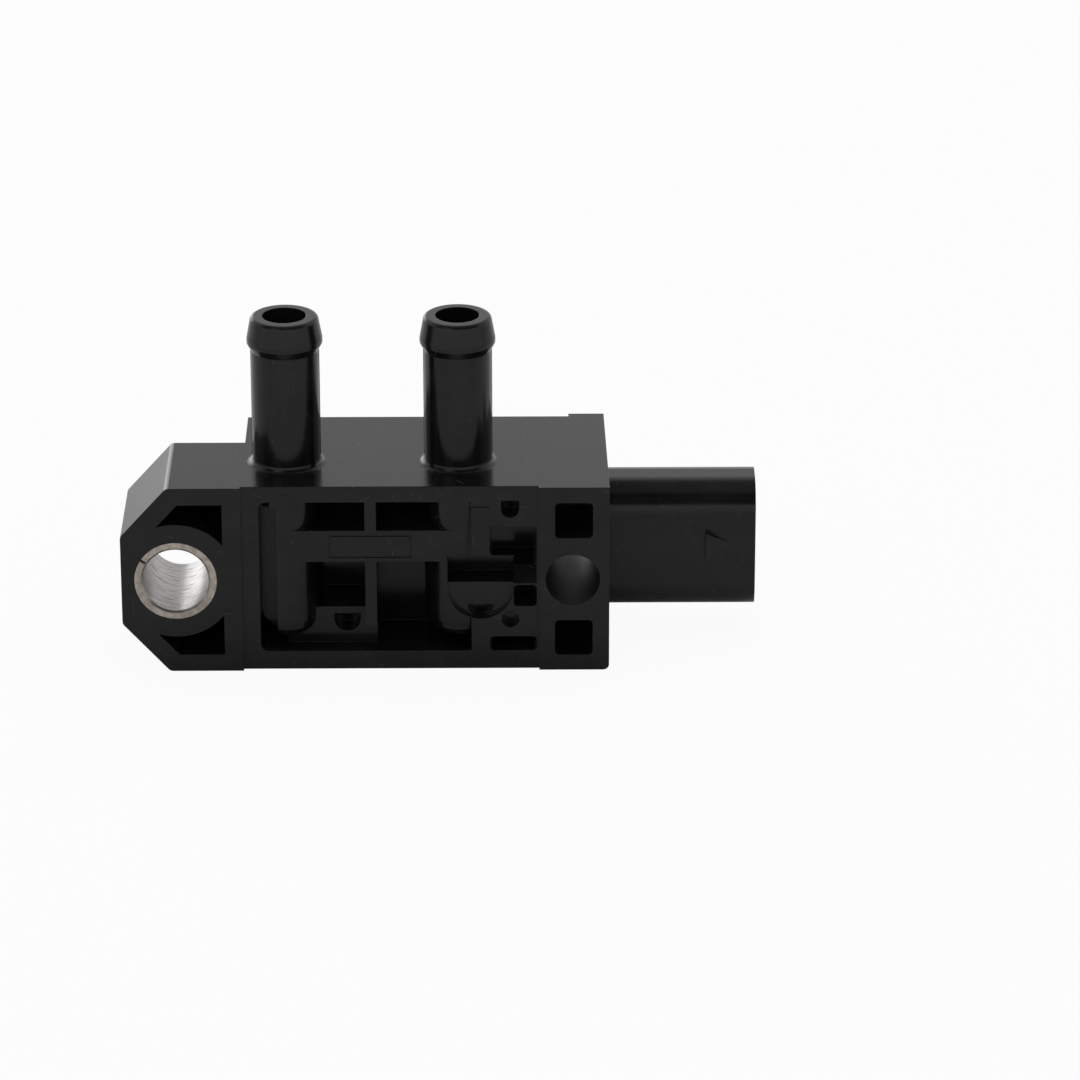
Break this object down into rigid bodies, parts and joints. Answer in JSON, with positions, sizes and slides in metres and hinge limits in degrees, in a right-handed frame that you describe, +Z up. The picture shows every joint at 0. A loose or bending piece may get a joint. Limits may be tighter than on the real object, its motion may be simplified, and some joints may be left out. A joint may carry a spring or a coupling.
{
  "type": "dpf differential pressure sensor",
  "caption": "Black moulded differential pressure sensor with two upright hose nipples, a bushed mounting ear, a cored front face and a plug shroud at one end.",
  "frame": {"origin": "centre of the mounting bush on the front face of the ear", "axes": "+X from the ear to the plug, +Y from the cored front face to the rear cover, +Z up along the nipples"},
  "size_m": [0.0749, 0.0234, 0.0417],
  "materials": {
    "moulded_plastic": "glossy black glass-filled moulding",
    "rolled_steel": "rolled sheet steel, dull grey",
    "tinned_brass": "tin-plated brass",
    "solder": "bright solder",
    "cover_plastic": "satin black plastic",
    "silicone": "cured black silicone",
    "board_laminate": "green glass-fibre board",
    "pedestal_glass": "clear borosilicate glass",
    "silicon": "polished silicon",
    "silicone_gel": "clear soft gel",
    "chip_resin": "black moulding resin",
    "chip_ceramic": "tan ceramic"
  },
  "bodies": {
    "root": {"housing": "moulded_plastic", "mounting_bush": "rolled_steel", "ground_terminal": "tinned_brass", "signal_terminal": "tinned_brass", "supply_terminal": "tinned_brass", "ground_joint": "solder", "signal_joint": "solder", "supply_joint": "solder", "rear_cover": "cover_plastic", "cover_seal": "silicone", "circuit_board": "board_laminate", "board_seal": "silicone", "die_pedestal": "pedestal_glass", "pressure_die": "silicon", "gel_dam": "cover_plastic", "protective_gel": "silicone_gel", "signal_chip": "chip_resin", "supply_capacitor": "chip_ceramic", "signal_capacitor": "chip_ceramic", "filter_capacitor": "chip_ceramic", "pull_up_resistor": "chip_resin", "load_resistor": "chip_resin"}
  },
  "joints": []
}
